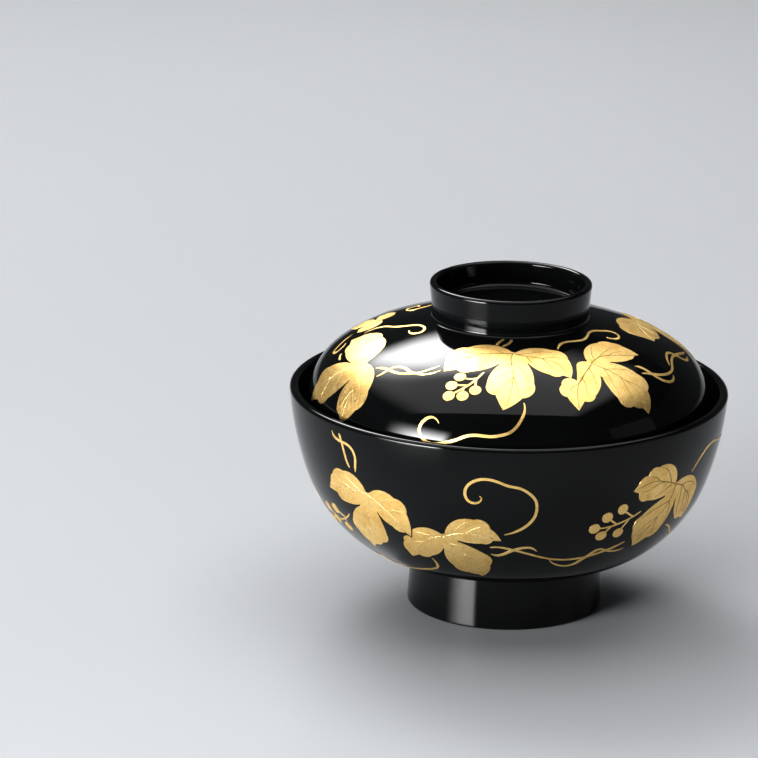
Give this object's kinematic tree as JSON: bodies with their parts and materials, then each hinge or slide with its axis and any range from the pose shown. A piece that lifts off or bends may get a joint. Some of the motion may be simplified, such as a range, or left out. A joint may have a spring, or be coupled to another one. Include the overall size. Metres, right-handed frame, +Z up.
{
  "type": "lidded rice bowl",
  "caption": "Lidded lacquer rice bowl on a tall foot ring, with a domed lid that sits inside the rim and thin raised gold leaves, berries and tendrils",
  "frame": {"origin": "centre of the foot ring's underside, on the surface that the bowl stands on", "axes": "+Z up along the turning axis of bowl and lid; the decoration's front faces -Y; +X to the right as seen from the front"},
  "size_m": [0.12, 0.12, 0.0913],
  "materials": {
    "lacquer": "turned wood under polished black lacquer",
    "gold": "sprinkled gold powder, slightly raised, satin"
  },
  "bodies": {
    "bowl": {"bowl_back_berries_high": "gold", "bowl_back_berries_low": "gold", "bowl_back_big_curl": "gold", "bowl_back_crossed_tendrils": "gold", "bowl_back_leaf_low": "gold", "bowl_back_leaf_spread": "gold", "bowl_back_leaf_veined": "gold", "bowl_back_low_vine": "gold", "bowl_back_side_tendrils": "gold", "bowl_back_twisted_vine": "gold", "bowl_body": "lacquer", "bowl_front_berries_high": "gold", "bowl_front_berries_low": "gold", "bowl_front_big_curl": "gold", "bowl_front_crossed_tendrils": "gold", "bowl_front_leaf_low": "gold", "bowl_front_leaf_spread": "gold", "bowl_front_leaf_veined": "gold", "bowl_front_low_vine": "gold", "bowl_front_side_tendrils": "gold", "bowl_front_twisted_vine": "gold", "bowl_left_curl": "gold", "bowl_right_curl": "gold"},
    "lid": {"lid_back_curl": "gold", "lid_back_twist": "gold", "lid_back_wave": "gold", "lid_berries_back": "gold", "lid_berries_front": "gold", "lid_body": "lacquer", "lid_front_ticks": "gold", "lid_front_twist": "gold", "lid_front_wave": "gold", "lid_inside_leaf": "gold", "lid_inside_stalk": "gold", "lid_inside_tendrils": "gold", "lid_leaf_back": "gold", "lid_leaf_left": "gold", "lid_leaf_left_back": "gold", "lid_leaf_middle": "gold", "lid_leaf_right": "gold", "lid_leaf_right_back": "gold", "lid_left_curl": "gold", "lid_left_tendrils": "gold", "lid_right_curl": "gold", "lid_right_twist": "gold"}
  },
  "joints": [
    {"name": "lid_lift", "type": "slide", "parent": "bowl", "child": "lid", "axis": [0, 0, 1], "range_m": [0, 0.08]}
  ]
}
